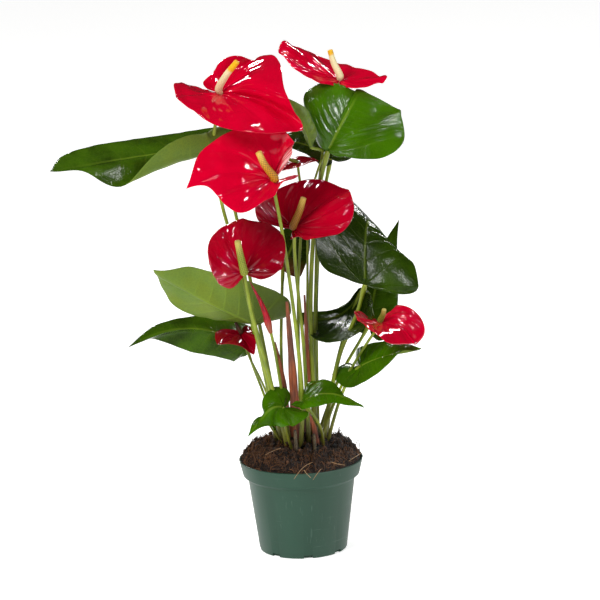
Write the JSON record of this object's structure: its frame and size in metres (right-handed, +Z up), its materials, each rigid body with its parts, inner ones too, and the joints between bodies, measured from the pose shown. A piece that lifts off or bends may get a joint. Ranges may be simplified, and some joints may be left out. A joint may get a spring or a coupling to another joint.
{
  "type": "potted anthurium",
  "caption": "Flowering pot plant: glossy heart-shaped spathes and leaves on slender stalks that rise from soil in a tapered round nursery pot.",
  "frame": {"origin": "centre of the underside of the pot's floor", "axes": "+Z up, -Y towards the side that faces the viewer, +X to the viewer's right"},
  "size_m": [0.3498, 0.1711, 0.4869],
  "materials": {
    "pot": "matte dark green moulded plastic",
    "soil": "rough dark brown peat and coir fibre",
    "leaf_bright": "glossy fresh green leaf",
    "leaf_dark": "glossy dark green leaf",
    "leaf_pale": "matte pale green underside of a leaf",
    "stalk": "satin yellow-green stalk",
    "spathe": "very glossy crimson",
    "spathe_dark": "very glossy dark crimson",
    "spadix_cream": "matte cream with a yellow tip",
    "spadix_gold": "matte golden yellow",
    "spadix_green": "matte yellow-green",
    "sheath": "papery red-brown",
    "root": "rough olive-brown"
  },
  "bodies": {
    "root": {"pot": "pot", "soil": "soil", "leaf_long_left": "leaf_dark", "leaf_broad_top": "leaf_bright", "leaf_young_rolled": "leaf_pale", "leaf_dark_behind_top": "leaf_dark", "leaf_big_right": "leaf_dark", "leaf_dark_right_low": "leaf_dark", "leaf_dark_right_upright": "leaf_dark", "leaf_right_low": "leaf_bright", "leaf_pale_left": "leaf_pale", "leaf_dark_left_low": "leaf_dark", "leaf_small_front_left": "leaf_bright", "leaf_small_front_right": "leaf_bright", "leaf_small_front_low": "leaf_bright", "leaf_dark_middle": "leaf_dark", "bloom_top_left_spathe": "spathe", "bloom_top_left_spadix": "spadix_cream", "bloom_top_left_stalk": "stalk", "bloom_top_right_spathe": "spathe", "bloom_top_right_spadix": "spadix_cream", "bloom_top_right_stalk": "stalk", "bloom_middle_left_spathe": "spathe", "bloom_middle_left_spadix": "spadix_gold", "bloom_middle_left_stalk": "stalk", "bloom_middle_right_spathe": "spathe_dark", "bloom_middle_right_spadix": "spadix_gold", "bloom_middle_right_stalk": "stalk", "bloom_left_spathe": "spathe_dark", "bloom_left_spadix": "spadix_green", "bloom_left_stalk": "stalk", "bloom_right_spathe": "spathe", "bloom_right_spadix": "spadix_green", "bloom_right_stalk": "stalk", "bloom_low_left_spathe": "spathe_dark", "bloom_low_left_spadix": "sheath", "bloom_low_left_stalk": "stalk", "bloom_behind_spathe": "spathe_dark", "bloom_behind_spadix": "spadix_green", "bloom_behind_stalk": "stalk", "bud_furled": "spathe", "bud_furled_stalk": "stalk", "sheath_left": "sheath", "sheath_middle": "sheath", "sheath_right": "sheath", "sheath_low": "sheath", "root_left": "root", "root_right": "root"}
  },
  "joints": []
}
